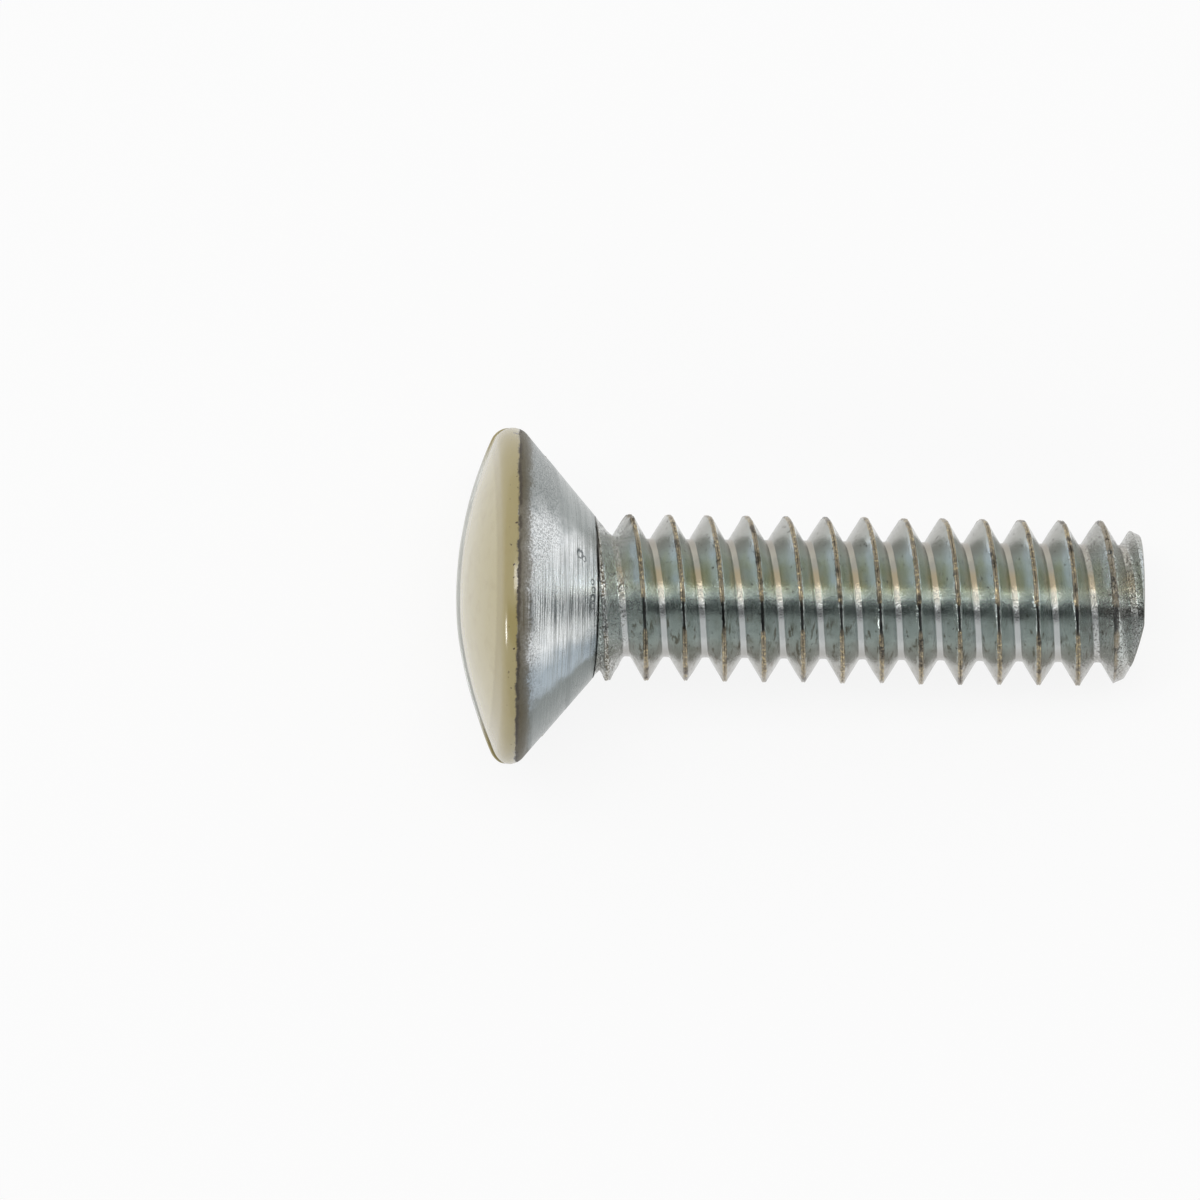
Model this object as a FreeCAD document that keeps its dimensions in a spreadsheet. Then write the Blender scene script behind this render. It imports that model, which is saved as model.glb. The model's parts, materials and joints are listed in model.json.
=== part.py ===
# Wall plate screw: a 6-32 by half inch machine screw with a slotted oval countersunk head.
# It is one piece of steel. Millimetres and degrees. The sketches hold the screw's axis on X:
# the widest plane of the head is x = 0, the dome points to -X and the tip to +X.
# The finished body is then laid on its side, as the screw comes to rest.
import FreeCAD, Part
import math
import os

import Sketcher

# Driving sizes
SIZES = {
    "screw_length": 12.75,  # widest plane of the head to the tip
    "head_diameter": 6.88,
    "dome_height": 1.05,  # widest plane of the head to the top of the dome
    "rim_round": 0.385,  # radius round the edge of the head
    "seat_angle": 99.0,  # included angle of the cone under the head
    "neck_fillet": 0.4,
    "major_diameter": 3.36,  # over the crests of the thread
    "pitch": 0.79375,  # 32 threads to the inch
    "flank_angle": 60.0,  # included angle of the thread form
    "crest_share": 0.125,  # flat on the crest, as a share of the pitch
    "root_share": 0.16667,  # flat at the root, as a share of the pitch
    "thread_sunk": 0.02,  # how far under the cone's surface the thread starts
    "slot_width": 1.0,  # at the floor
    "slot_draft": 3.0,  # lean of each wall
    "slot_depth": 1.75,  # top of the dome to the floor
    "tip_diameter": 2.78,  # flat face at the end
    "tip_angle": 37.0,  # lean of the tip's bevel from the axis
}

# Sizes that follow from the driving ones, as formulas of the sheet
FORMULAS = {
    "major_radius": "=major_diameter / 2",
    "crest_flat": "=crest_share * pitch",
    "root_flat": "=root_share * pitch",
    "flank_slope": "=tan(flank_angle / 2 * 1 deg)",
    "thread_depth": "=(pitch - crest_flat - root_flat) / 2 / flank_slope",
    "core_radius": "=major_radius - thread_depth",
    "rim_height": "=head_diameter / 2 - rim_round",
    "cone_reach": "=rim_height + rim_round / cos(seat_angle / 2 * 1 deg)",
    "cone_end": "=(cone_reach - major_radius) / tan(seat_angle / 2 * 1 deg)",
    "thread_start": "=cone_end - crest_flat / 2 - thread_sunk",
    "blank_length": "=screw_length + pitch",
    "slot_floor": "=slot_depth - dome_height",
}

START, END, CENTRE = range(1, 4)  # the named points of a line or an arc
ORIGIN = (-1, 1)  # the sketch's own origin, as a piece of geometry and its point
X_AXIS, Y_AXIS = -1, -2


def makeSheet(doc):
    """The spreadsheet of sizes, one row each: name and value."""
    sheet = doc.addObject("Spreadsheet::Sheet", "sizes")
    for row, (name, value) in enumerate([*SIZES.items(), *FORMULAS.items()], start=1):
        sheet.set(f"A{row}", name)
        sheet.set(f"B{row}", str(value))
        sheet.setAlias(f"B{row}", name)
    doc.recompute()
    return sheet


def makeSketch(body, name, role):
    """An empty sketch on one of the body's own origin planes."""
    plane = next(f for f in body.Origin.OriginFeatures if f.Role == role)
    sketch = body.newObject("Sketcher::SketchObject", name)
    sketch.AttachmentSupport = [(plane, "")]
    sketch.MapMode = "FlatFace"
    return sketch


def bind(sketch, name, kind, where, formula):
    """Adds a named size to the sketch and ties it to the sheet."""
    value = sketch.evalExpression(formula)
    if kind == "Angle":
        value = math.radians(value)
    index = sketch.addConstraint(Sketcher.Constraint(kind, *where, value))
    sketch.renameConstraint(index, name)
    sketch.setExpression(f"Constraints.{name}", formula)


def point(x, y):
    return FreeCAD.Vector(x, y, 0)


def arc(centre, radius, start, end):
    """An arc from one angle to the other, counterclockwise, in radians."""
    return Part.ArcOfCircle(Part.Circle(centre, FreeCAD.Vector(0, 0, 1), radius), start, end)


def addBlank(body, sheet):
    """The headed blank: dome, rounded rim, cone, fillet at the neck and the thread's core."""
    lean = math.radians(sheet.seat_angle / 2)
    outward = point(math.sin(lean), math.cos(lean))
    rim = point(0, sheet.rim_height)
    domeRadius = (sheet.dome_height**2 + sheet.rim_height**2 - sheet.rim_round**2) / (
        2 * (sheet.dome_height - sheet.rim_round)
    )
    dome = point(domeRadius - sheet.dome_height, 0)
    domeEnd = math.atan2(rim.y - dome.y, rim.x - dome.x)
    neckHeight = sheet.core_radius + sheet.neck_fillet
    coneOffset = (rim + outward * (sheet.rim_round + sheet.neck_fillet)).dot(outward)
    neck = point((coneOffset - neckHeight * outward.y) / outward.x, neckHeight)
    neckStart = neck - outward * sheet.neck_fillet
    neckEnd = point(neck.x, sheet.core_radius)
    apex = point(-sheet.dome_height, 0)
    farRim = point(sheet.blank_length, sheet.core_radius)
    farAxis = point(sheet.blank_length, 0)

    sketch = makeSketch(body, "blank_profile", "XY_Plane")
    domeArc = sketch.addGeometry(arc(dome, domeRadius, domeEnd, math.pi))
    rimArc = sketch.addGeometry(arc(rim, sheet.rim_round, math.pi / 2 - lean, domeEnd))
    cone = sketch.addGeometry(Part.LineSegment(rim + outward * sheet.rim_round, neckStart))
    neckArc = sketch.addGeometry(
        arc(neck, sheet.neck_fillet, 3 * math.pi / 2 - lean, 3 * math.pi / 2)
    )
    core = sketch.addGeometry(Part.LineSegment(neckEnd, farRim))
    end = sketch.addGeometry(Part.LineSegment(farRim, farAxis))
    axis = sketch.addGeometry(Part.LineSegment(farAxis, apex))
    sketch.addConstraint(
        [
            Sketcher.Constraint("Tangent", domeArc, START, rimArc, END),
            Sketcher.Constraint("Tangent", rimArc, START, cone, START),
            Sketcher.Constraint("Tangent", cone, END, neckArc, START),
            Sketcher.Constraint("Tangent", neckArc, END, core, START),
            Sketcher.Constraint("Coincident", core, END, end, START),
            Sketcher.Constraint("Coincident", end, END, axis, START),
            Sketcher.Constraint("Coincident", axis, END, domeArc, END),
            Sketcher.Constraint("Horizontal", core),
            Sketcher.Constraint("Vertical", end),
            Sketcher.Constraint("PointOnObject", axis, START, X_AXIS),
            Sketcher.Constraint("PointOnObject", axis, END, X_AXIS),
            Sketcher.Constraint("PointOnObject", domeArc, CENTRE, X_AXIS),
            Sketcher.Constraint("PointOnObject", rimArc, CENTRE, Y_AXIS),
        ]
    )
    bind(sketch, "dome_height", "DistanceX", (axis, END, *ORIGIN), "sizes.dome_height")
    bind(sketch, "rim_height", "DistanceY", (*ORIGIN, rimArc, CENTRE), "sizes.rim_height")
    bind(sketch, "rim_round", "Radius", (rimArc,), "sizes.rim_round")
    bind(sketch, "seat_lean", "Angle", (cone,), "-sizes.seat_angle / 2")
    bind(sketch, "neck_fillet", "Radius", (neckArc,), "sizes.neck_fillet")
    bind(sketch, "core_radius", "DistanceY", (*ORIGIN, core, END), "sizes.core_radius")
    bind(sketch, "blank_length", "DistanceX", (*ORIGIN, axis, START), "sizes.blank_length")

    blank = body.newObject("PartDesign::Revolution", "blank")
    blank.Profile = sketch
    blank.ReferenceAxis = (sketch, ["H_Axis"])
    blank.Angle = 360


def addOutline(sketch, corners):
    """A closed outline of straight lines. Line n starts at corner n."""
    for n, corner in enumerate(corners):
        sketch.addGeometry(Part.LineSegment(corner, corners[(n + 1) % len(corners)]))
    for n in range(len(corners)):
        after = (n + 1) % len(corners)
        sketch.addConstraint(Sketcher.Constraint("Coincident", n, END, after, START))


def addThread(body, sheet):
    """The thread's ridge, wound round the core. It starts inside the cone and runs past the tip."""
    crest = sheet.crest_flat / 2
    foot = crest + (sheet.thread_depth + sheet.root_flat / 2) * sheet.flank_slope
    low = sheet.core_radius - sheet.root_flat / 2
    sketch = makeSketch(body, "thread_profile", "XY_Plane")
    addOutline(
        sketch,
        [
            point(sheet.thread_start - crest, sheet.major_radius),
            point(sheet.thread_start + crest, sheet.major_radius),
            point(sheet.thread_start + foot, low),
            point(sheet.thread_start - foot, low),
        ],
    )
    land, rightFlank, base, leftFlank = range(4)
    sketch.addConstraint(
        [
            Sketcher.Constraint("Horizontal", land),
            Sketcher.Constraint("Horizontal", base),
            Sketcher.Constraint("Equal", rightFlank, leftFlank),
        ]
    )
    bind(sketch, "major_radius", "DistanceY", (*ORIGIN, land, START), "sizes.major_radius")
    bind(sketch, "crest_flat", "DistanceX", (land, START, land, END), "sizes.crest_flat")
    bind(
        sketch,
        "start",
        "DistanceX",
        (*ORIGIN, land, START),
        "sizes.thread_start - sizes.crest_flat / 2",
    )
    bind(
        sketch,
        "foot",
        "DistanceY",
        (*ORIGIN, base, START),
        "sizes.core_radius - sizes.root_flat / 2",
    )
    bind(sketch, "flank_lean", "Angle", (rightFlank,), "sizes.flank_angle / 2 - 90")

    thread = body.newObject("PartDesign::AdditiveHelix", "thread")
    thread.Profile = sketch
    thread.ReferenceAxis = (sketch, ["H_Axis"])
    thread.Mode = "pitch-height-angle"
    thread.LeftHanded = False
    thread.Refine = False  # its faces stay one to a turn, so that later cuts stay sound
    thread.setExpression("Pitch", "sizes.pitch")
    thread.setExpression("Height", "sizes.blank_length - sizes.thread_start")


def addTip(body, sheet):
    """Cuts the bevel and the flat end face, and all that was wound past them."""
    lean = math.radians(sheet.tip_angle)
    tip = sheet.tip_diameter / 2
    high = sheet.major_radius + sheet.pitch
    far = sheet.blank_length + sheet.pitch
    sketch = makeSketch(body, "tip_profile", "XY_Plane")
    addOutline(
        sketch,
        [
            point(sheet.screw_length, 0),
            point(sheet.screw_length, tip),
            point(sheet.screw_length - (high - tip) / math.tan(lean), high),
            point(far, high),
            point(far, 0),
        ],
    )
    face, bevel, top, side, axis = range(5)
    sketch.addConstraint(
        [
            Sketcher.Constraint("Vertical", face),
            Sketcher.Constraint("Horizontal", top),
            Sketcher.Constraint("Vertical", side),
            Sketcher.Constraint("PointOnObject", axis, START, X_AXIS),
            Sketcher.Constraint("PointOnObject", axis, END, X_AXIS),
        ]
    )
    bind(sketch, "screw_length", "DistanceX", (*ORIGIN, face, START), "sizes.screw_length")
    bind(sketch, "tip_radius", "DistanceY", (*ORIGIN, face, END), "sizes.tip_diameter / 2")
    bind(sketch, "tip_lean", "Angle", (bevel,), "180 - sizes.tip_angle")
    bind(sketch, "high", "DistanceY", (*ORIGIN, top, START), "sizes.major_radius + sizes.pitch")
    bind(sketch, "far", "DistanceX", (*ORIGIN, side, END), "sizes.blank_length + sizes.pitch")

    cut = body.newObject("PartDesign::Groove", "tip")
    cut.Profile = sketch
    cut.ReferenceAxis = (sketch, ["H_Axis"])
    cut.Angle = 360
    cut.Refine = False


def addSlot(body, sheet):
    """The driver slot, right across the head along Y, with walls that lean outwards."""
    draft = math.tan(math.radians(sheet.slot_draft))
    floor = sheet.slot_width / 2
    low = sheet.slot_floor
    high = -sheet.dome_height - sheet.slot_depth
    mouth = floor + (low - high) * draft
    sketch = makeSketch(body, "slot_profile", "XZ_Plane")
    addOutline(
        sketch,
        [point(low, -floor), point(low, floor), point(high, mouth), point(high, -mouth)],
    )
    bottom, upperWall, opening, lowerWall = range(4)
    sketch.addConstraint(
        [
            Sketcher.Constraint("Vertical", bottom),
            Sketcher.Constraint("Vertical", opening),
            Sketcher.Constraint("Equal", upperWall, lowerWall),
        ]
    )
    bind(sketch, "slot_floor", "DistanceX", (*ORIGIN, bottom, START), "sizes.slot_floor")
    bind(sketch, "slot_width", "DistanceY", (bottom, START, bottom, END), "sizes.slot_width")
    bind(sketch, "middle", "DistanceY", (bottom, START, *ORIGIN), "sizes.slot_width / 2")
    bind(
        sketch,
        "mouth",
        "DistanceX",
        (opening, START, *ORIGIN),
        "sizes.dome_height + sizes.slot_depth",
    )
    bind(sketch, "slot_draft", "Angle", (upperWall,), "180 - sizes.slot_draft")

    slot = body.newObject("PartDesign::Pocket", "slot")
    slot.Profile = sketch
    slot.Type = "ThroughAll"
    slot.Midplane = True


def restingPlacement(shape, sheet):
    """Lies the screw on the edge of its head and its lowest crest, with the tip to +X."""
    across = FreeCAD.Vector(0, 1, 0)
    section = Part.Compound(shape.slice(across, 0))
    tilt = min(
        math.atan2(sheet.rim_height + corner.Z, corner.X)
        + math.asin(sheet.rim_round / math.hypot(corner.X, sheet.rim_height + corner.Z))
        for corner in section.Vertexes
        if corner.X > sheet.cone_end
    )
    turn = FreeCAD.Rotation(across, math.degrees(tilt))
    section.Placement = FreeCAD.Placement(FreeCAD.Vector(), turn)
    box = section.optimalBoundingBox()
    return FreeCAD.Placement(FreeCAD.Vector(-box.Center.x, 0, -box.ZMin), turn)


def checkModel(doc, part):
    """Stops if any object of the document failed, or the part's shape is no sound solid."""
    for item in doc.Objects:
        if {"Invalid", "Error"} & set(item.State):
            raise RuntimeError(f"{item.Label} failed: {item.State}")
    if part.Shape.isNull() or not part.Shape.isValid() or len(part.Shape.Solids) != 1:
        raise RuntimeError(f"{part.Label} isn't one valid solid")


def cutVolume(doc, body, addFeature, sheet):
    """Adds a feature that cuts, and returns the volume that it took away."""
    before = body.Shape.Volume
    addFeature(body, sheet)
    doc.recompute()
    return before - body.Shape.Volume


def main():
    doc = FreeCAD.newDocument("wall_plate_screw")
    sheet = makeSheet(doc)
    body = doc.addObject("PartDesign::Body", "screw")
    addBlank(body, sheet)
    addThread(body, sheet)
    doc.recompute()
    for name, addFeature in (("tip", addTip), ("slot", addSlot)):
        volume = cutVolume(doc, body, addFeature, sheet)
        if volume <= 0:
            raise RuntimeError(f"the {name} cuts nothing")
        print(f"{name} takes {volume:.2f} mm3")
    body.Placement = restingPlacement(body.Shape, sheet)
    doc.recompute()
    checkModel(doc, body)
    os.makedirs("parts", exist_ok=True)
    body.Shape.exportStep(f"parts/{body.Label}.step")
    print(f"{body.Label}: {body.Shape.Volume:.2f} mm3, {body.Shape.BoundBox}")


main()
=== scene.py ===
import json
import math
import random

import bmesh
import bpy
from mathutils import Matrix, Vector, noise


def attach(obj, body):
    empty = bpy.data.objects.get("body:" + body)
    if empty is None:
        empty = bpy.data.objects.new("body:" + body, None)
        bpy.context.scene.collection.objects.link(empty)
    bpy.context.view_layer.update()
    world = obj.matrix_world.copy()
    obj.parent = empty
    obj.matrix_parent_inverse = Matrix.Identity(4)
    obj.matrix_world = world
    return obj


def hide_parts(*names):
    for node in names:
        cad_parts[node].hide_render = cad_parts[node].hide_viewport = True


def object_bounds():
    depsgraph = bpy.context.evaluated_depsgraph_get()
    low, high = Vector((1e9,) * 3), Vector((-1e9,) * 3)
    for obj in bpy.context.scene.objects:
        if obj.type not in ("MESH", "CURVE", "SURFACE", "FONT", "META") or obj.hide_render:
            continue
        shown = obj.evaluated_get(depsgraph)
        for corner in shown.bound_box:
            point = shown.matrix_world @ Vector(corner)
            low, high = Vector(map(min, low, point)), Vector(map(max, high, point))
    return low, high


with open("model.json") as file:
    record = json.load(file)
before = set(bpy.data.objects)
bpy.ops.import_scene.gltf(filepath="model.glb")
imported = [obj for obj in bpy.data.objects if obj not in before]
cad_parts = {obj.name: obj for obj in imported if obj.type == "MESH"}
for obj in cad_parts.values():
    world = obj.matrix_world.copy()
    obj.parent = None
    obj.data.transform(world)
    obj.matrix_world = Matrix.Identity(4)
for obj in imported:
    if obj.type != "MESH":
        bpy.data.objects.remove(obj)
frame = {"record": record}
cadLow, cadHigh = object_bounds()

screw = {
    "length": 12.75,  # widest plane of the head to the tip
    "rimHeight": 3.055,  # middle of the rim's rounding, from the axis
    "rimRound": 0.385,
    "domeHeight": 1.05,
    "seatLean": 49.5,  # lean of the cone from the axis, degrees
    "neckRound": 0.4,
    "steps": 224,  # faces round the head
    "scoreAt": 1.70,  # the fine groove where the thread starts
    "scoreWidth": 0.026,
    "scoreDepth": 0.05,
}
thread = {
    "radius": 1.68,
    "core": 1.1931,
    "pitch": 0.79375,
    "start": 1.6111,  # crest of the first turn, straight up the picture
    "halfCrest": 0.036,
    "halfRoot": 0.0625,
    "flank": 58.5,  # lean of a flank from the axis, degrees
    "crestRound": 0.038,
    "rootRound": 0.05,
    "seamWidth": 0.026,
    "seamDepth": 0.012,
    "steps": 120,  # faces round one turn
    "turns": 16,
}
tip = {
    "radius": 1.39,
    "lean": 24.0,  # lean of the bevel from the axis, degrees
    "round": 0.05,
    "collarFrom": 12.33,  # from here the last groove is only half formed
    "collarRadius": 1.15,
    "collarLean": 31.0,
    "shearFrom": -0.4,
    "shearLean": 11.0,
}
slot = {"floor": 0.70, "halfWidth": 0.5, "draft": 3.0, "lip": 0.06}
weld = {"turned": 0.003, "joined": 0.0015}  # points nearer than this become one


def layOnFrame():
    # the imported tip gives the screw's axis and where it lies
    face = next(m for m in frame["record"]["mounts"] if m["name"] == "tip_face")
    axis = Vector(face["axis"]).normalized()
    across = Vector((0, 1, 0))
    turn = Matrix((axis, across, axis.cross(across))).transposed().to_4x4()
    base = Vector(face["pos_m"]) - axis * screw["length"] / 1000
    return Matrix.Translation(base) @ turn @ Matrix.Scale(0.001, 4)


toRow = layOnFrame()
toScrew = toRow.inverted()


def smoothStep(value, low, high):
    share = min(max((value - low) / (high - low), 0), 1)
    return share * share * (3 - 2 * share)


def drawLine(bm, start, x, y, parts=1):
    first, last = start.co.copy(), Vector((x, y, 0))
    for n in range(parts):
        start = bmesh.ops.extrude_vert_indiv(bm, verts=[start])["verts"][0]
        start.co = first.lerp(last, (n + 1) / parts)
    return start


def drawArc(bm, start, x, y, degrees, steps):
    made = bmesh.ops.spin(
        bm, geom=[start], cent=(x, y, 0), axis=(0, 0, 1), angle=math.radians(degrees), steps=steps
    )
    return next(v for v in made["geom_last"] if isinstance(v, bmesh.types.BMVert))


def closeUp(bm):
    bmesh.ops.remove_doubles(bm, verts=bm.verts, dist=weld["turned"])
    bmesh.ops.recalc_face_normals(bm, faces=bm.faces)


def turnProfile(bm, steps):
    bmesh.ops.spin(
        bm,
        geom=bm.verts[:] + bm.edges[:],
        cent=(0, 0, 0),
        axis=(1, 0, 0),
        angle=math.tau,
        steps=steps,
        use_merge=True,
    )
    closeUp(bm)


def asObject(bm, name):
    mesh = bpy.data.meshes.new(name)
    bm.to_mesh(mesh)
    bm.free()
    made = bpy.data.objects.new(name, mesh)
    bpy.context.scene.collection.objects.link(made)
    return made


def coneRadius(x):
    lean = math.radians(screw["seatLean"])
    return screw["rimHeight"] + screw["rimRound"] / math.cos(lean) - x * math.tan(lean)


def makeHead():
    bm = bmesh.new()
    lean = math.radians(screw["seatLean"])
    height, rim = screw["rimHeight"], screw["rimRound"]
    dome = screw["domeHeight"]
    domeRadius = (dome**2 + height**2 - rim**2) / (2 * (dome - rim))
    middle = domeRadius - dome
    sweep = math.degrees(math.atan2(height, middle))
    slope = 1 / math.tan(lean)
    reach = coneRadius(0)
    neck = screw["neckRound"]
    neckHeight = thread["core"] + neck
    neckAt = (reach + neck / math.cos(lean) - neckHeight) * slope
    score, half = screw["scoreAt"], screw["scoreWidth"] / 2
    nearCore = 8  # the neck's rounding stops this many degrees short, inside the thread

    pen = bm.verts.new((-dome, 0, 0))
    pen = drawArc(bm, pen, middle, 0, -sweep, 44)
    pen = drawArc(bm, pen, 0, height, sweep - 90 - screw["seatLean"], 20)
    pen = drawLine(bm, pen, score - half, coneRadius(score - half), 36)
    pen = drawLine(bm, pen, score, coneRadius(score) - screw["scoreDepth"])
    pen = drawLine(bm, pen, score + half, coneRadius(score + half))
    coneEnd = neckAt - neck * math.sin(lean)
    pen = drawLine(bm, pen, coneEnd, coneRadius(coneEnd), 5)
    pen = drawArc(bm, pen, neckAt, neckHeight, screw["seatLean"] - nearCore, 7)
    pen = drawLine(bm, pen, neckAt + 1, thread["core"] - 0.2)
    drawLine(bm, pen, neckAt + 1, 0)
    turnProfile(bm, screw["steps"])
    return bm


def cutSlot(bm):
    draft = math.radians(slot["draft"])
    floor, lip = slot["floor"], slot["lip"]
    near = slot["halfWidth"] + 2 * lip + 0.1

    def cut(at, normal):
        faces = [
            f
            for f in bm.faces
            if all(v.co.x < floor + 0.15 and abs(v.co.z) < near + 0.2 for v in f.verts)
        ]
        edges = {e for f in faces for e in f.edges}
        verts = {v for f in faces for v in f.verts}
        bmesh.ops.bisect_plane(
            bm, geom=[*verts, *edges, *faces], dist=1e-5, plane_co=at, plane_no=normal
        )

    walls = []
    for side in (1, -1):
        normal = Vector((math.sin(draft), 0, side * math.cos(draft)))
        foot = Vector((floor, 0, side * slot["halfWidth"]))
        walls.append((foot, normal))
        for share in (0, 0.06, 0.2, 0.5, 1):
            cut(foot + normal * lip * share, normal)
    cut(Vector((floor, 0, 0)), Vector((1, 0, 0)))
    bm.normal_update()

    # paint rounds the slot's lips: points beside a wall drop on a quarter circle
    drops = []
    for v in bm.verts:
        for foot, normal in walls:
            away = (v.co - foot).dot(normal)
            if v.co.x < floor - 1e-4 and -1e-4 < away < lip:
                inward = -(v.normal - normal * v.normal.dot(normal)).normalized()
                rounding = lip * (1 - smoothStep(v.co.x, 0.1, floor))
                gap = max(away, 0) / lip
                drops.append((v, inward * rounding * (1 - math.sqrt(1 - (1 - gap) ** 2))))

    def inSlot(face):
        centre = face.calc_center_median()
        return centre.x < floor and all((centre - foot).dot(n) < 0 for foot, n in walls)

    bmesh.ops.delete(bm, geom=[f for f in bm.faces if inSlot(f)], context="FACES")
    for v, move in drops:
        if v.is_valid:
            v.co += move

    # the two walls, then the floor
    rims = [e for e in bm.edges if e.is_boundary]
    feet = []
    for foot, normal in walls:
        edge = [e for e in rims if all(abs((v.co - foot).dot(normal)) < 1e-3 for v in e.verts)]
        ends = [v for v in {v for e in edge for v in e.verts} if v.co.x > floor - 1e-4]
        feet.append(bm.edges.new(ends))
        bmesh.ops.edgeloop_fill(bm, edges=[*edge, feet[-1]])
    rims = [e for e in bm.edges if e.is_boundary]
    bmesh.ops.edgeloop_fill(bm, edges=rims)
    bmesh.ops.recalc_face_normals(bm, faces=bm.faces)


def makeRod():
    # half of one turn's profile, mirrored, then wound round the axis
    bm = bmesh.new()
    crest, root = thread["radius"], thread["core"]
    half = thread["pitch"] / 2
    flank = thread["flank"]
    rootTouch = thread["rootRound"] * math.tan(math.radians(flank / 2))
    crestTouch = thread["crestRound"] * math.tan(math.radians(flank / 2))
    along, up = math.cos(math.radians(flank)), math.sin(math.radians(flank))
    seam = thread["seamWidth"] / 2
    pen = bm.verts.new((-half, root, 0))
    pen = drawLine(bm, pen, thread["halfRoot"] - half - rootTouch, root)
    pen = drawArc(bm, pen, pen.co.x, root + thread["rootRound"], flank, 3)
    corner = -thread["halfCrest"]
    pen = drawLine(bm, pen, corner - crestTouch * along, crest - crestTouch * up, 5)
    pen = drawArc(bm, pen, corner + crestTouch, crest - thread["crestRound"], -flank, 3)
    pen = drawLine(bm, pen, -seam, crest)
    drawLine(bm, pen, 0, crest - thread["seamDepth"])
    bmesh.ops.mirror(bm, geom=bm.verts[:] + bm.edges[:], axis="X", merge_dist=1e-5)
    bmesh.ops.translate(bm, verts=bm.verts, vec=(thread["start"] - thread["pitch"], 0, 0))
    bmesh.ops.spin(
        bm,
        geom=bm.verts[:] + bm.edges[:],
        cent=(0, 0, 0),
        axis=(1, 0, 0),
        dvec=(thread["pitch"] / thread["steps"], 0, 0),
        angle=math.tau,
        steps=thread["steps"],
    )
    turn = bm.verts[:] + bm.edges[:] + bm.faces[:]
    for n in range(1, thread["turns"]):
        copied = bmesh.ops.duplicate(bm, geom=turn)["geom"]
        verts = [item for item in copied if isinstance(item, bmesh.types.BMVert)]
        bmesh.ops.translate(bm, verts=verts, vec=(thread["pitch"] * n, 0, 0))
    closeUp(bm)
    trim(bm, (1.3, 0, 0), (-1, 0, 0))
    trim(bm, (screw["length"] + 0.2, 0, 0), (1, 0, 0))
    return bm


def trim(bm, at, outward):
    # cuts off all beyond a plane and closes the end
    bmesh.ops.bisect_plane(
        bm,
        geom=bm.verts[:] + bm.edges[:] + bm.faces[:],
        dist=1e-5,
        plane_co=at,
        plane_no=outward,
        clear_outer=True,
    )
    bmesh.ops.holes_fill(bm, edges=[e for e in bm.edges if e.is_boundary], sides=0)
    bmesh.ops.recalc_face_normals(bm, faces=bm.faces)


def makeCollar():
    # metal that the thread's last groove left standing
    bm = bmesh.new()
    start, radius = tip["collarFrom"], tip["collarRadius"]
    end = screw["length"] + 0.1
    rise = (end - start) * math.tan(math.radians(tip["collarLean"]))
    pen = bm.verts.new((start, 0, 0))
    pen = drawLine(bm, pen, start, radius)
    pen = drawLine(bm, pen, end, radius + rise, 8)
    drawLine(bm, pen, end, 0)
    turnProfile(bm, thread["steps"])
    return bm


def makeEnvelope():
    # everything of the rod outside this turned shape goes: the bevel and the flat end
    bm = bmesh.new()
    lean = math.radians(tip["lean"])
    far, wide = screw["length"], thread["radius"] + 0.5
    touch = tip["round"] * math.tan((math.pi / 2 - lean) / 2)
    pen = bm.verts.new((0, 0, 0))
    pen = drawLine(bm, pen, 0, wide)
    pen = drawLine(bm, pen, far - (wide - tip["radius"]) / math.tan(lean), wide)
    pen = drawLine(bm, pen, far - touch * math.cos(lean), tip["radius"] + touch * math.sin(lean))
    pen = drawArc(bm, pen, far - tip["round"], tip["radius"] - touch, tip["lean"] - 90, 4)
    drawLine(bm, pen, far, 0)
    turnProfile(bm, thread["steps"])
    # the end was sheared off, so its lower part falls away
    shear = math.radians(tip["shearLean"])
    trim(bm, (far, tip["shearFrom"], 0), (math.cos(shear), -math.sin(shear), 0))
    return bm


def combine(piece, tool, operation):
    modifier = piece.modifiers.new(operation.lower(), "BOOLEAN")
    modifier.operation = operation
    modifier.solver = "EXACT"
    modifier.object = tool
    evaluated = piece.evaluated_get(bpy.context.evaluated_depsgraph_get())
    mesh = bpy.data.meshes.new_from_object(evaluated)
    piece.modifiers.clear()
    piece.data = mesh
    bpy.data.objects.remove(tool)


wear = {
    "ripple": 0.0035,  # how far the plain surfaces wander
    "crest": 0.015,  # the same on the crests
    "firstTurn": 0.020,
    "domeFlat": 0.065,  # how much flatter the dome is on the picture's lower side
    "nicks": 42,
    "seed": 32,
}
# dents seen in the picture: where on the axis, height in the picture, size, depth
dents = [
    (1.31, 0.86, 0.13, 0.040),
    (1.40, 0.76, 0.08, 0.025),
    (1.58, 0.30, 0.08, 0.030),
    (1.60, 0.14, 0.08, 0.030),
    (1.59, -0.02, 0.10, 0.030),
    (1.58, -0.18, 0.09, 0.030),
    (0.73, -2.76, 0.08, 0.030),
    (12.02, 1.05, 0.08, 0.050),
    (12.10, 0.97, 0.06, 0.045),
    (12.47, -1.36, 0.07, 0.030),
]


def dentPlace(at, height):
    radius = max(thread["radius"], coneRadius(at))
    return Vector((at, height, math.sqrt(max(radius**2 - height**2, 0))))


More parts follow.
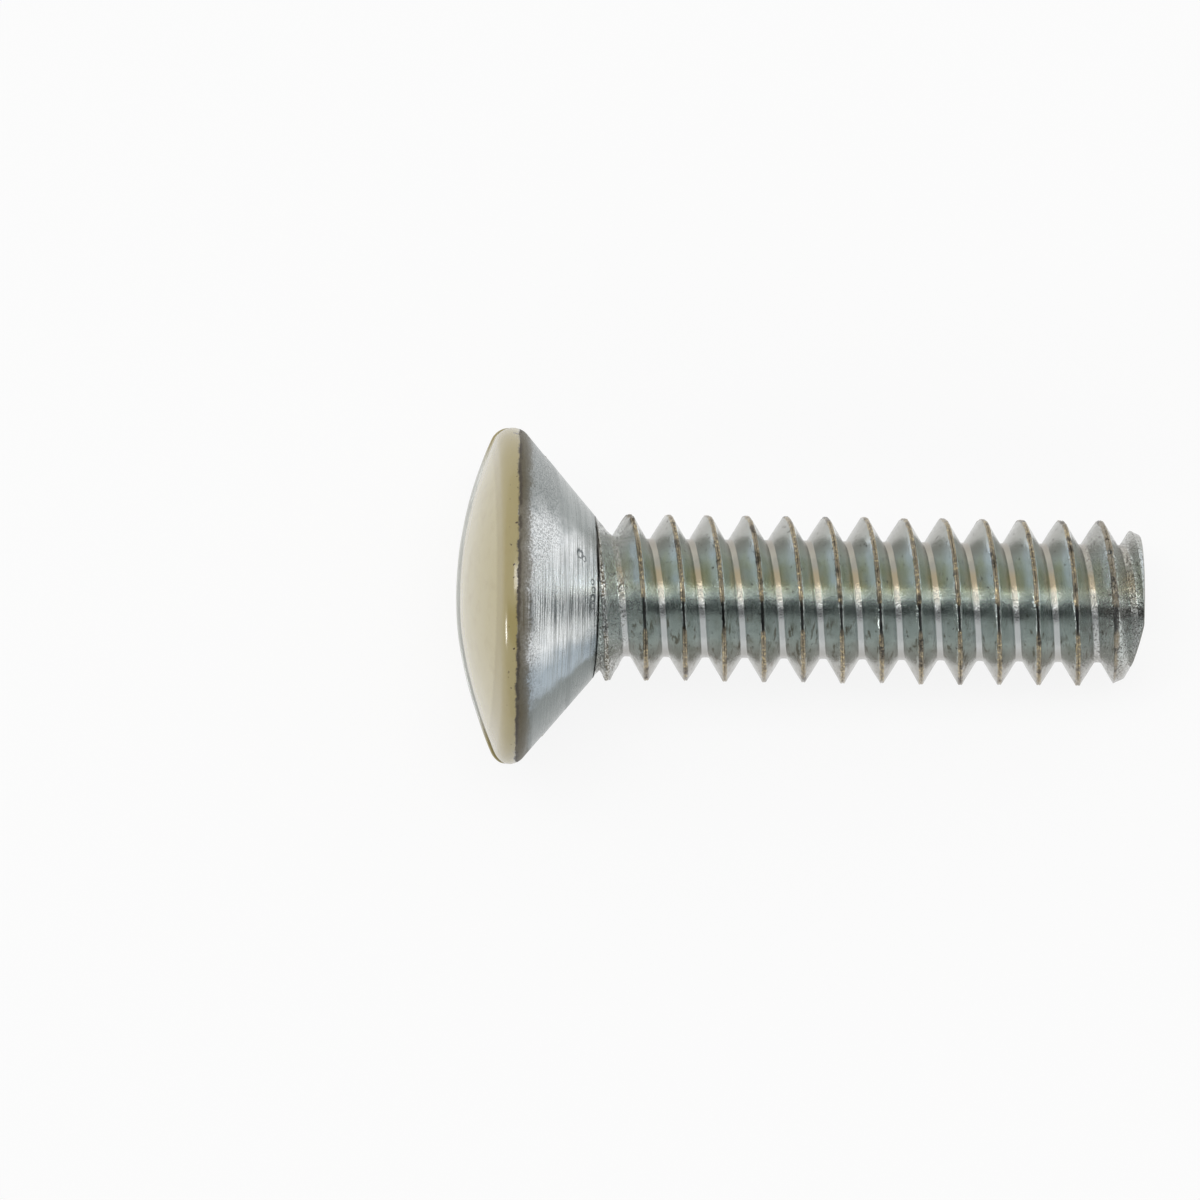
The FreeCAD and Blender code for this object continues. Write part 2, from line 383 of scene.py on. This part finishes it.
def wearDown(bm):
    bm.normal_update()
    draw = random.Random(wear["seed"])
    spots = [(dentPlace(at, height), size, depth) for at, height, size, depth in dents]
    for _ in range(wear["nicks"]):
        turns = draw.uniform(1, 13)
        around = math.tau * (turns % 1)
        at = thread["start"] + thread["pitch"] * turns + draw.choice((-0.05, 0, 0.06))
        up, out = thread["radius"] * math.cos(around), thread["radius"] * math.sin(around)
        place = Vector((at, up, out))
        spots.append((place, draw.uniform(0.05, 0.12), draw.uniform(0.015, 0.045)))
    moves = []
    for v in bm.verts:
        radius = math.hypot(v.co.y, v.co.z)
        crest = smoothStep(radius, 1.5, 1.66) * smoothStep(v.co.x, 1.7, 2.0)
        first = smoothStep(v.co.x, 1.72, 1.8) * (1 - smoothStep(v.co.x, 2.3, 2.7))
        first = first * smoothStep(radius, 1.2, 1.4)
        depth = wear["ripple"] + wear["crest"] * crest + wear["firstTurn"] * first
        coarse = noise.noise(v.co * 2.1)
        fine = noise.noise(v.co * 9 + Vector((7, 3, 1)))
        move = depth * (coarse + 0.6 * fine * (0.15 + crest + first)) - 0.4 * depth
        for place, size, deep in spots:
            away = (v.co - place).length
            if away < size:
                move -= deep * (1 - (away / size) ** 2) ** 2
        flat = wear["domeFlat"] * smoothStep(-v.co.y, 0.3, 2.6)
        flat = flat * (1 - smoothStep(v.co.x, -0.35, 0.1))
        moves.append(v.normal * move + Vector((flat, 0, 0)))
    for v, move in zip(bm.verts, moves):
        v.co += move


def makeScrew():
    bm = makeHead()
    cutSlot(bm)
    piece = asObject(bm, "platedScrew")
    print("head and slot:", len(piece.data.polygons), "faces")
    rod = asObject(makeRod(), "rod")
    print("thread:", len(rod.data.polygons), "faces")
    combine(rod, asObject(makeCollar(), "collar"), "UNION")
    combine(rod, asObject(makeEnvelope(), "envelope"), "INTERSECT")
    print("tip cut:", len(rod.data.polygons), "faces")
    combine(piece, rod, "UNION")
    bm = bmesh.new()
    bm.from_mesh(piece.data)
    bmesh.ops.remove_doubles(bm, verts=bm.verts, dist=weld["joined"])
    bmesh.ops.dissolve_degenerate(bm, dist=1e-4, edges=bm.edges)
    wearDown(bm)
    bmesh.ops.triangulate(bm, faces=[f for f in bm.faces if len(f.verts) > 4])
    bmesh.ops.recalc_face_normals(bm, faces=bm.faces)
    for face in bm.faces:
        face.smooth = True
    for edge in bm.edges:
        edge.smooth = edge.calc_face_angle(0) < math.radians(32)
    loose = sum(not e.is_manifold for e in bm.edges)
    bm.transform(toRow)
    bm.to_mesh(piece.data)
    bm.free()
    piece.data.materials.clear()
    print("screw joined:", len(piece.data.polygons), "faces,", loose, "open edges")
    return piece


class Value:
    # a socket whose sums are written as Python
    def __init__(self, finish, socket):
        self.finish = finish
        self.socket = socket

    def __add__(self, other):
        return self.finish.maths("ADD", self, other)

    __radd__ = __add__

    def __sub__(self, other):
        return self.finish.maths("SUBTRACT", self, other)

    def __rsub__(self, other):
        return self.finish.maths("SUBTRACT", other, self)

    def __mul__(self, other):
        return self.finish.maths("MULTIPLY", self, other)

    __rmul__ = __mul__

    def __truediv__(self, other):
        return self.finish.maths("DIVIDE", self, other)

    def __abs__(self):
        return self.finish.maths("ABSOLUTE", self)


class Finish:
    # the nodes of a material or of the world
    def __init__(self, owner):
        self.owner = owner
        owner.use_nodes = True
        self.tree = owner.node_tree
        self.tree.nodes.clear()

    def node(self, kind, settings, inputs, output=0):
        made = self.tree.nodes.new("ShaderNode" + kind)
        for key, value in settings.items():
            setattr(made, key, value)
        for key, value in inputs.items():
            if isinstance(value, Value):
                self.tree.links.new(value.socket, made.inputs[key])
            else:
                made.inputs[key].default_value = value
        return Value(self, made.outputs[output]) if made.outputs else None

    def part(self, value, name):
        return Value(self, value.socket.node.outputs[name])

    def maths(self, operation, *values):
        return self.node("Math", {"operation": operation}, dict(enumerate(values)))

    def step(self, value, low, high):
        settings = {"interpolation_type": "SMOOTHSTEP"}
        return self.node("MapRange", settings, {"Value": value, "From Min": low, "From Max": high})

    def mix(self, share, first, second):
        settings = {"data_type": "RGBA", "clamp_factor": True}
        return self.node("Mix", settings, {0: share, 6: first, 7: second}, 2)

    def fade(self, value, low, high):
        return 1 - self.step(value, low, high)

    def near(self, value, middle, inner, outer):
        # 1 within inner of the middle, 0 from outer on
        return self.fade(abs(value - middle), inner, outer)

    def sway(self, pattern, amount):
        # a noise pattern as a swing about nothing
        return (pattern - 0.5) * amount

    def axes(self, vector):
        split = self.node("SeparateXYZ", {}, {0: vector})
        return [self.part(split, name) for name in "XYZ"]

    def stretch(self, vector, scale, shift=(0, 0, 0)):
        settings = {"operation": "MULTIPLY_ADD"}
        return self.node("VectorMath", settings, {0: vector, 1: scale, 2: shift})

    def noise(self, vector, scale=1.0, detail=2.0, rough=0.5):
        inputs = {"Vector": vector, "Scale": scale, "Detail": detail, "Roughness": rough}
        return self.node("TexNoise", {}, inputs)

    def bump(self, height, distance, normal=None):
        inputs = {"Height": height, "Distance": distance}
        if normal:
            inputs["Normal"] = normal
        return self.node("Bump", {}, inputs)


def colour(red, green, blue):
    # written as the picture's 0 to 255, given as linear light
    return tuple(
        c / 12.92 if c <= 0.04045 else ((c + 0.055) / 1.055) ** 2.4
        for c in (red / 255, green / 255, blue / 255)
    ) + (1,)


paint = {
    "colour": colour(166, 153, 106),
    # dome: painted light, a lighter cream for the dome than for the rim band
    "dome": colour(183, 171, 126),
    "mottle": colour(160, 144, 94),
    # inSlot: darker, partly thinner paint and partly painted shade in the slot
    "inSlot": colour(134, 125, 80),
    # lips: painted highlight along the slot's rounded lips, the far lip paler
    "lip": colour(206, 212, 212),
    "farLipHighlight": colour(226, 232, 236),
    "speck": colour(74, 58, 38),
    "roughness": 0.2,
    "edge": 0.17,  # how far past the widest plane it reaches, at the side
    "edgeFalls": 0.062,  # how much less, per millimetre towards the top
}
plating = {
    "cone": colour(250, 253, 254),
    # coneBlue, coneGrey and coneLow also paint reflection and shade by height on the cone
    "coneBlue": colour(148, 163, 174),
    "coneGrey": colour(138, 144, 142),
    "coneLow": colour(106, 112, 107),
    # coneDark: dark grain, and painted shade in the dark band and round the dents
    "coneDark": colour(88, 96, 98),
    "flank": colour(192, 200, 197),
    # olive and flankBlue: painted reflection on the upper flanks
    "olive": colour(188, 193, 174),
    "flankBlue": colour(222, 234, 244),
    # root tints by height: painted reflection
    "root": colour(186, 184, 172),
    "rootBelow": colour(204, 208, 208),
    "rootTan": colour(200, 182, 146),
    # tips: also painted shade towards the rod's top and bottom edges
    "tips": colour(140, 132, 122),
    "gold": colour(196, 182, 146),
    # edge: painted highlight, for glints, the line beside each crest and the inside of dents
    "edge": colour(236, 240, 238),
    "crest": colour(138, 127, 108),
    "dirt": colour(58, 48, 36),
    "blotch": colour(100, 90, 66),
    # seam: black, partly the rolled seam, partly painted shade in the dark band
    "seam": colour(16, 15, 13),
    "end": colour(176, 178, 172),
    "spray": colour(92, 82, 56),
}


class Plate(Finish):
    # the screw's finish: where a point lies, the patterns that its colours share, and masks
    def __init__(self):
        super().__init__(bpy.data.materials.new("platedSteelWithPaintedHead"))
        self.findPlace()
        self.findPatterns()
        self.findPaint()
        self.findThread()

    def findPlace(self):
        inputs = {
            "Vector": self.node("TexCoord", {}, {}, "Object"),
            "Location": toScrew.translation,
            "Rotation": toScrew.to_euler(),
            "Scale": toScrew.to_scale(),
        }
        self.local = self.node("Mapping", {}, inputs)
        self.x, self.y, self.z = self.axes(self.local)
        inputs = {0: self.stretch(self.local, (0, 1, 1))}
        self.radius = self.node("VectorMath", {"operation": "LENGTH"}, inputs, "Value")
        self.height = self.y / self.radius  # -1 at the foot of the picture to 1 at its top
        # where on the thread: 0 on a crest to half a pitch in a root
        around = self.maths("ARCTAN2", self.z, self.y) / math.tau
        phase = (self.x - thread["start"]) / thread["pitch"] - around
        self.signed = phase - self.maths("ROUND", phase)
        self.fromCrest = abs(self.signed) * thread["pitch"]

    def findPatterns(self):
        local = self.local
        self.grain = self.noise(local, 22, 3, 0.6)
        self.sparkle = self.noise(local, 46, 2, 0.7)
        self.patches = self.noise(self.stretch(local, (1, 1, 1), (5, 2, 9)), 2.6, 3, 0.55)
        self.scored = self.noise(self.stretch(local, (38, 0.5, 0.5)), 1, 3, 0.7)
        self.rolled = self.noise(self.stretch(local, (26, 1.2, 1.2), (3, 0, 0)), 1, 2, 0.6)
        # where the cone's score lines are clear and not sandy
        broad = self.sway(self.noise(local, 0.9, 2, 0.5), 0.6)
        self.lined = self.step(self.x - self.step(self.height, 0.1, 0.5) * 0.55 + broad, 0.2, 0.6)

    def findPaint(self):
        # the paint's edge, then the spray beyond it, then bare plating
        step, fade, sway = self.step, self.fade, self.sway
        edge = paint["edge"] - paint["edgeFalls"] * abs(self.z)
        wander = sway(self.noise(self.local, 3.2, 4, 0.6), 0.14) + sway(self.grain, 0.07)
        self.pastEdge = self.x - edge + wander
        inSlot = fade(self.x, 0.72, 0.73) * fade(abs(self.z), 0.535, 0.545)
        self.painted = self.maths("MAXIMUM", fade(self.pastEdge, -0.008, 0.008), inSlot)
        cover = fade(self.pastEdge + sway(self.patches, 0.12), 0.04, 0.48)
        drops = step((self.grain + self.sparkle) / 2 + sway(cover, 0.5), 0.43, 0.58)
        self.sprayed = (drops * 0.6 + cover * cover * 0.4) * (1 - self.painted)
        crack = self.near(self.pastEdge, 0.02, 0.012, 0.06) * step(self.patches, 0.3, 0.5)
        self.crack = crack * (1 - inSlot)

    def findThread(self):
        step, fade, sway = self.step, self.fade, self.sway
        self.shank = step(self.x, 1.70, 1.74)
        self.inRoot = fade(thread["pitch"] / 2 - self.fromCrest, 0.055, 0.08) * self.shank
        self.firstTurn = self.shank * fade(self.x + sway(self.patches, 0.6), 2.05, 2.4)
        self.lastTurn = step(self.x + sway(self.patches, 0.8), 11.3, 12.1)
        self.rough = (self.firstTurn + self.lastTurn * 0.8) * step(self.grain, 0.52, 0.62)
        pits = step(self.noise(self.local, 12, 2, 0.5), 0.66, 0.71)
        self.pits = pits * step(self.radius, 1.2, 1.35)
        # the crests' top, and the stretch in the middle where the rolled seam shows black, partly
        # the real seam and partly painted shade
        drift = self.height + sway(self.patches, 0.3) + sway(self.grain, 0.1)
        self.middle = step(drift, -0.44, -0.34) * fade(drift, -0.05, 0.0)
        width = 0.05 + sway(self.patches, 0.03) + sway(self.grain, 0.04)
        width = width - self.middle * 0.02 + self.lastTurn * 0.03
        self.onLand = fade(self.fromCrest - width, -0.008, 0.008) * step(self.radius, 1.6, 1.63)


def paintColour(plate):
    step, mix, x, z = plate.step, plate.mix, plate.x, plate.z
    # darker olive paint in the slot: partly thinner paint, partly painted shade in the recess
    inSlot = step(x, -0.75, 0.3) * plate.fade(abs(z), 0.53, 0.6)
    # painted highlight along the slot's rounded lips, paler on the far lip
    paintedLipLight = plate.near(abs(z), 0.57, 0.05, 0.1) * plate.fade(x, -0.6, -0.3)
    specks = plate.noise(plate.stretch(plate.local, (1, 1, 1), (2, 2, 2)), 9, 1, 0.4)
    specks = step(specks, 0.69, 0.73) * step(plate.pastEdge, -0.22, -0.1) * plate.painted
    # painted light: the dome gets a lighter cream than the rim band, which faces up
    onRim = step(x + plate.sway(plate.grain, 0.04), -0.46, -0.41)
    tint = mix(onRim, paint["dome"], paint["colour"])
    tint = mix(step(plate.patches, 0.45, 0.75) * 0.3, tint, paint["mottle"])
    tint = mix(inSlot, tint, paint["inSlot"])
    tint = mix(paintedLipLight * 0.7, tint, mix(step(z, -0.1, 0.1), paint["farLipHighlight"], paint["lip"]))
    return mix(specks, tint, paint["speck"])


def coneColour(plate):
    # scored round and round, bright in the middle; painted reflection and shade: blue and darker
    # below, grey towards the top, dark streaks just below the middle
    step, mix, fade = plate.step, plate.mix, plate.fade
    level = plate.height + plate.sway(plate.patches, 0.2)
    tint = mix(step(plate.patches, 0.5, 0.7) * 0.15, plating["cone"], plating["coneBlue"])
    # painted reflection and shade: blue below the middle, darker still at the bottom
    tint = mix(fade(level, -0.52, -0.3) * 0.85, tint, plating["coneBlue"])
    tint = mix(fade(level, -0.72, -0.6) * 0.85, tint, plating["coneLow"])
    # painted shade: grey towards the top
    tint = mix(step(level, 0.42, 0.68) * 0.85, tint, plating["coneGrey"])
    tint = mix(step(plate.scored, 0.46, 0.62) * plate.lined * 0.6, tint, plating["coneGrey"])
    sandy = step(plate.grain, 0.46, 0.58) * (1 - plate.lined)
    tint = mix(sandy * 0.45, tint, plating["coneDark"])
    # painted shade: score streaks darkened in the dark band just below the middle
    shadedStreaks = step(plate.scored, 0.46, 0.6) * plate.near(plate.height, -0.09, 0.04, 0.2)
    tint = mix(shadedStreaks * 0.8, tint, plating["coneDark"])
    return mix(plate.sprayed * 0.9, tint, plating["spray"])


def flankColour(plate):
    # greenish, with pale roots; painted reflection: olive above, and a blue streak beside each
    # crest on the upper side
    step, mix, fade, sway = plate.step, plate.mix, plate.fade, plate.sway
    height, signed = plate.height, plate.signed
    sunny = step(height, 0.0, 0.2) * fade(height, 0.55, 0.75)
    tint = mix(sunny * step(plate.patches, 0.2, 0.7), plating["flank"], plating["olive"])
    # painted reflection: a pale blue streak beside each crest, on the upper side only
    beside = step(signed, -0.3, -0.12) * fade(signed, -0.06, 0)
    beside = beside * step(height, 0.1, 0.25) * fade(height, 0.6, 0.85)
    beside = beside * (0.5 + step(plate.patches, 0.3, 0.6) * 0.5)
    tint = mix(beside, tint, plating["flankBlue"])

    # painted glints at the edge of the bright band, painted dark flecks in the dark band below it
    fine = plate.grain * 0.6 + plate.sparkle * 0.4
    lit = plate.near(height, 0.09, 0.06, 0.15) * step(fine, 0.5, 0.55)
    tint = mix(lit * 0.7, tint, plating["edge"])
    unlit = plate.near(height, -0.1, 0.06, 0.14) * step(fine, 0.48, 0.56)
    tint = mix(unlit * 0.6, tint, plating["coneDark"])
    # painted shade: a dark band along the last turn
    shade = plate.near(height + sway(plate.grain, 0.1), -0.13, 0.05, 0.11)
    tint = mix(shade * plate.lastTurn * 0.8, tint, plating["seam"])

    # painted reflection: roots paler and greyer below, tan in a band above the middle
    root = mix(step(height, -0.2, 0.1), plating["rootBelow"], plating["root"])
    warm = step(height, 0.12, 0.3) * fade(height, 0.4, 0.6)
    tint = mix(plate.inRoot, tint, mix(warm * 0.7, root, plating["rootTan"]))
    # painted shade: darker towards the top and bottom edges of the rod
    tint = mix(step(abs(height), 0.6, 0.97) * 0.6, tint, plating["tips"])
    nearCrest = fade(plate.fromCrest + sway(plate.grain, 0.1), 0.06, 0.24)
    return mix(nearCrest * fade(height, -0.95, -0.55) * 0.55, tint, plating["tips"])


def threadColour(plate):
    step, mix, grain, height = plate.step, plate.mix, plate.grain, plate.height
    # painted highlight: a thin bright line beside each crest, except on the lower side
    bright = plate.near(plate.signed * thread["pitch"], 0.055, 0.006, 0.018)
    tint = mix(bright * step(height, -0.3, -0.1) * 0.8, flankColour(plate), plating["edge"])
    # brown blotches, on the lower side only
    lowerBlotches = plate.noise(plate.stretch(plate.local, (9, 3, 3), (4, 4, 1)), 1, 3, 0.6)
    lowerBlotches = step(lowerBlotches, 0.56, 0.66) * plate.fade(height, -0.4, -0.2) * (1 - plate.inRoot)
    tint = mix(lowerBlotches * 0.75, tint, plating["blotch"])
    tint = mix(plate.lastTurn * 0.2, tint, plating["tips"])

    # the crests: brown with gold glints, and a black line in the middle band, partly the rolled
    # seam and partly painted shade
    land = mix(step(grain, 0.5, 0.62), plating["crest"], plating["gold"])
    dirty = step(plate.patches, 0.52, 0.62) * step(grain, 0.42, 0.5)
    land = mix(dirty, land, plating["dirt"])
    land = mix(plate.middle, land, plating["seam"])
    tint = mix(plate.onLand * 0.9, tint, land)

    # painted glints: bright specks on the first and last turns
    glintSpots = plate.firstTurn + plate.lastTurn * (0.45 - plate.onLand * 0.25)
    tint = mix(glintSpots * step(plate.sparkle, 0.48, 0.55) * 0.95, tint, plating["edge"])
    tint = mix(plate.pits * 0.8 + plate.rough * 0.75, tint, plating["dirt"])

    # the sheared end is plain
    low = plate.maths("MINIMUM", plate.y - tip["shearFrom"], 0)
    end = screw["length"] + low * math.tan(math.radians(tip["shearLean"]))
    onEnd = step(plate.x - end, -0.035, -0.015)
    plain = mix(step(grain, 0.4, 0.6) * 0.16, plating["end"], plating["dirt"])
    return mix(onEnd, tint, plain)


def metalColour(plate):
    step, mix = plate.step, plate.mix
    metal = mix(plate.shank, coneColour(plate), threadColour(plate))

    # the dents: painted shade round their edge, a painted highlight inside
    torn = plate.sway(plate.sparkle, 0.7) + plate.sway(plate.grain, 0.5)
    dentShade, dentHighlight = 0, 0
    for at, up, size, depth in dents:
        inputs = {0: plate.local, 1: dentPlace(at, up)}
        away = plate.node("VectorMath", {"operation": "DISTANCE"}, inputs, "Value")
        away = away / size + torn
        dentHighlight = plate.maths("MAXIMUM", dentHighlight, plate.fade(away, 0.3, 0.45))
        dentShade = plate.maths("MAXIMUM", dentShade, plate.near(away, 0.68, 0.1, 0.22))
    metal = mix(dentShade * 0.75, metal, plating["coneDark"])
    metal = mix(dentHighlight * 0.8, metal, plating["edge"])

    # darker along the score groove, except near the bottom
    score = plate.near(plate.x, screw["scoreAt"], 0.012, 0.03)
    score = score * step(plate.height + plate.patches * 0.3, -0.6, -0.35)
    return mix(score * 0.8, metal, plating["dirt"])


def plateNormal(plate):
    # score lines and sand on the cone, ripples and glints on the thread, then the paint's skin
    shank, lined = plate.shank, plate.lined
    coneScore = plate.step(plate.x, 0.35, 0.7) * (1 - shank)
    sandy = plate.fade(plate.x, 0.55, 1.1) * 0.8 + 0.12
    relief = plate.scored * coneScore * lined + plate.rolled * shank * 0.35
    relief = relief + plate.sparkle * sandy * (1 - shank) * (1.3 - lined) + plate.rough * 0.9
    glint = plate.near(plate.height, 0.04, 0.1, 0.3) * (0.7 + plate.inRoot)
    glint = glint + plate.firstTurn * 0.7 + plate.lastTurn * 0.5
    relief = relief + plate.grain * shank * (0.12 + glint) + plate.sparkle * shank * 0.3
    normal = plate.bump(relief * (1 - plate.painted), 0.000011)
    skin = plate.painted + plate.noise(plate.local, 4, 2, 0.5) * 0.25
    return plate.bump(skin, 0.000012, normal)


def makePlatedFinish():
    plate = Plate()
    painted, crack = plate.painted, plate.crack
    base = plate.mix(painted, metalColour(plate), paintColour(plate))
    worn = plate.sprayed * 0.8 + plate.onLand * 0.35 + plate.pits * 0.5
    zinc = 0.24 - plate.shank * 0.13 + plate.inRoot * 0.07 + worn * 0.25
    zinc = zinc + plate.sway(plate.scored, 0.25) + plate.sway(plate.sparkle, 0.25)
    shader = plate.node(
        "BsdfPrincipled",
        {},
        {
            "Base Color": plate.mix(crack * 0.8, base, plating["dirt"]),
            "Roughness": zinc * (1 - painted) + paint["roughness"] * painted,
            "Metallic": (1 - painted) * (1 - plate.sprayed * 0.7) * (1 - crack * 0.8),
            "Normal": plateNormal(plate),
            "IOR": 1.5,
            "Coat Weight": painted * 0.7,
            "Coat Roughness": 0.12,
            "Coat IOR": 1.6,
        },
    )
    plate.node("OutputMaterial", {}, {"Surface": shader})
    return plate.owner


studio = {
    "world": 0.68,
    "dim": 0.02,  # the dim patch overhead, which gives the steel its dark band
    "dimTilt": (-38, -32, -9, -5),  # where it fades in and out, degrees from straight up
    "dimSide": (60, 78),
    "floor": 0.92,
    "floorGlow": 0.86,  # share of the floor that is plain white to the camera and in reflections
    "floorSize": 2.4,
}
# lamps: lean from straight up towards the picture's top, lean towards its right,
# distance, width, height and the share of a plain level that it gives
lamps = {
    "overhead": (12.5, 0, 0.60, 0.50, 0.18, 0.34),
    "spark": (-44, -74.4, 0.50, 0.09, 0.06, 0.10),
}


def addLamps():
    middle = (cadLow + cadHigh) / 2
    for name, (up, right, distance, width, height, share) in lamps.items():
        data = bpy.data.lights.new(name, "AREA")
        data.shape = "RECTANGLE"
        data.size, data.size_y = width, height
        data.energy = share * math.pi**2 * distance**2
        lamp = bpy.data.objects.new(name, data)
        bpy.context.scene.collection.objects.link(lamp)
        toward = Vector((math.tan(math.radians(right)), math.tan(math.radians(up)), 1)).normalized()
        lamp.location = middle + toward * distance
        lamp.rotation_mode = "QUATERNION"
        lamp.rotation_quaternion = toward.to_track_quat("Z", "Y")


def makeWorld():
    world = bpy.data.worlds.new("studio")
    finish = Finish(world)
    x, y, z = finish.axes(finish.node("TexCoord", {}, {}, "Generated"))
    tilt = finish.maths("ARCTAN2", y, z) * (180 / math.pi)
    side = abs(finish.maths("ARCTAN2", x, z) * (180 / math.pi))
    low, lowFull, highFull, high = studio["dimTilt"]
    dim = finish.step(tilt, low, lowFull) * finish.fade(tilt, highFull, high)
    dim = dim * finish.fade(side, *studio["dimSide"])
    strength = studio["world"] - (studio["world"] - studio["dim"]) * dim
    shader = finish.node("Background", {}, {"Color": (1, 1, 1, 1), "Strength": strength})
    finish.node("OutputWorld", {}, {"Surface": shader})
    bpy.context.scene.world = world


def makeFloor():
    bm = bmesh.new()
    bmesh.ops.create_grid(bm, x_segments=1, y_segments=1, size=studio["floorSize"] / 2)
    floor = asObject(bm, "floor")
    finish = Finish(bpy.data.materials.new("paleFloor"))
    ray = finish.node("LightPath", {}, {})
    seen = finish.part(ray, "Is Camera Ray") + finish.part(ray, "Is Glossy Ray")
    seen = finish.maths("MINIMUM", seen + finish.part(ray, "Is Transmission Ray"), 1)
    pale = finish.node("BsdfDiffuse", {}, {"Color": (*[studio["floor"]] * 3, 1)})
    white = finish.node("Emission", {}, {"Color": (1, 1, 1, 1), "Strength": 1})
    shader = finish.node("MixShader", {}, {0: seen * studio["floorGlow"], 1: pale, 2: white})
    finish.node("OutputMaterial", {}, {"Surface": shader})
    floor.data.materials.append(finish.owner)
    return floor


def addCamera():
    view = {
        "yaw": 4.0,  # how far the tip lies behind the picture's plane
        "roll": 0.74,
        "distance": 0.4,
        "across": 24.19,  # millimetres across the picture
        "aimAt": 1.845,  # the picture's middle, along the axis
        "aimUp": -0.0605,
    }
    data = bpy.data.cameras.new("camera")
    camera = bpy.data.objects.new("camera", data)
    bpy.context.scene.collection.objects.link(camera)
    axis = (toRow.to_3x3() @ Vector((1, 0, 0))).normalized()
    across = Vector((0, 1, 0))
    yaw, roll = math.radians(view["yaw"]), math.radians(view["roll"])
    back = Matrix.Rotation(-yaw, 3, across) @ axis.cross(across)
    right = across.cross(back)
    up = across * math.cos(roll) - right * math.sin(roll)
    right = up.cross(back)
    aim = toRow @ Vector((view["aimAt"], 0, 0)) + up * view["aimUp"] / 1000
    data.sensor_width = 36
    data.lens = data.sensor_width * view["distance"] * 1000 / view["across"]
    camera.matrix_world = Matrix.Translation(aim + back * view["distance"]) @ Matrix(
        (right, up, back)
    ).transposed().to_4x4()
    bpy.context.scene.camera = camera


addCamera()
print("camera set")
piece = makeScrew()
piece.data.materials.append(makePlatedFinish())
print("finish made")
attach(piece, "root")
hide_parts("screw")
makeFloor()
addLamps()
makeWorld()
bpy.context.scene.view_settings.view_transform = "Standard"
print("studio set")
